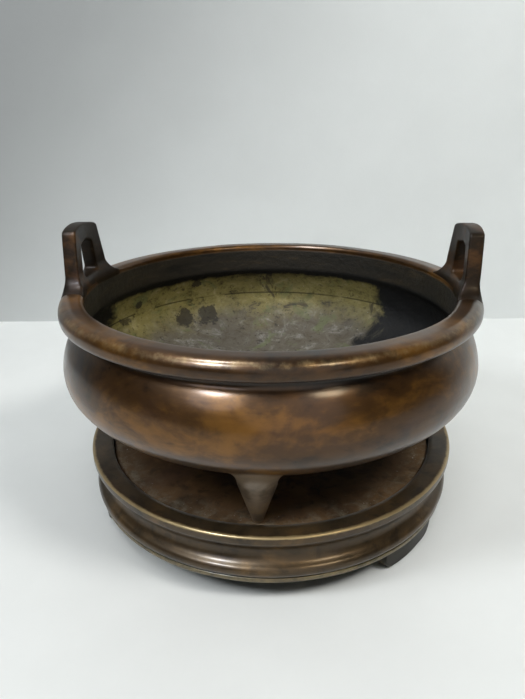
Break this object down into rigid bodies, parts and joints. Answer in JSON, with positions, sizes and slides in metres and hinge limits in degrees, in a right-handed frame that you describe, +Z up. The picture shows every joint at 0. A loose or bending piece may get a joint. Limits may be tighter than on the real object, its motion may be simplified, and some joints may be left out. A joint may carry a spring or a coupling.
{
  "type": "incense burner",
  "caption": "Round cast bronze tripod incense burner with a rolled lip and upright loop handles, standing in the recess of a matching moulded bronze stand on bracket feet.",
  "frame": {"origin": "on the ground, on the axis of the bowl and the stand, at the centre of the base", "axes": "+Z up along the axis, +X through the right handle, -Y towards the front, through the front leg"},
  "size_m": [0.1704, 0.1704, 0.119],
  "materials": {
    "bowl_bronze": "satin brown patina with warm worn patches, crusted green inside",
    "handle_bronze": "satin dark brown patina",
    "leg_bronze": "satin grey brown patina",
    "stand_bronze": "satin dark olive brown patina, edge worn to yellow metal",
    "deck_bronze": "dull dark brown patina, dusty at the edge",
    "base_bronze": "satin grey olive patina",
    "bracket_bronze": "dull grey olive patina"
  },
  "bodies": {
    "stand": {"stand_ring": "stand_bronze", "deck_plate": "deck_bronze", "base_ring": "base_bronze", "right_bracket": "bracket_bronze", "rear_bracket": "bracket_bronze", "left_bracket": "bracket_bronze"},
    "censer": {"bowl": "bowl_bronze", "left_handle": "handle_bronze", "right_handle": "handle_bronze", "front_leg": "leg_bronze", "right_leg": "leg_bronze", "left_leg": "leg_bronze"}
  },
  "joints": [
    {"name": "censer_lift", "type": "slide", "parent": "stand", "child": "censer", "axis": [0, 0, 1], "range_m": [0, 0.1]}
  ]
}
